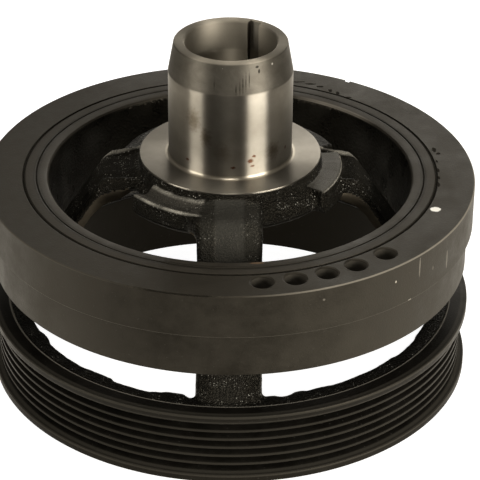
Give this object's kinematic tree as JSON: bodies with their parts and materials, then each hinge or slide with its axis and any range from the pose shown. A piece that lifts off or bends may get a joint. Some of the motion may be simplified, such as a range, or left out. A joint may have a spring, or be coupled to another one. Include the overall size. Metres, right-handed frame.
{
  "type": "harmonic balancer",
  "caption": "Crankshaft harmonic balancer: a keyed snout and spoked hub cast with a ribbed belt pulley, carrying an outer iron inertia ring on a bonded rubber ring.",
  "frame": {"origin": "on the crankshaft axis, in the plane of the pulley's front face, which the part stands on", "axes": "+Z along the crankshaft axis towards the snout's end; the front spoke in the picture points along -Y and the side spokes along X"},
  "size_m": [0.1872, 0.1872, 0.1341],
  "materials": {
    "hub_casting": "glossy black paint over rough casting; the snout and the face are bare turned metal",
    "rubber_ring": "matt",
    "inertia_ring": "satin black paint over turned metal"
  },
  "bodies": {
    "root": {"hub_casting": "hub_casting", "rubber_ring": "rubber_ring", "inertia_ring": "inertia_ring"}
  },
  "joints": []
}
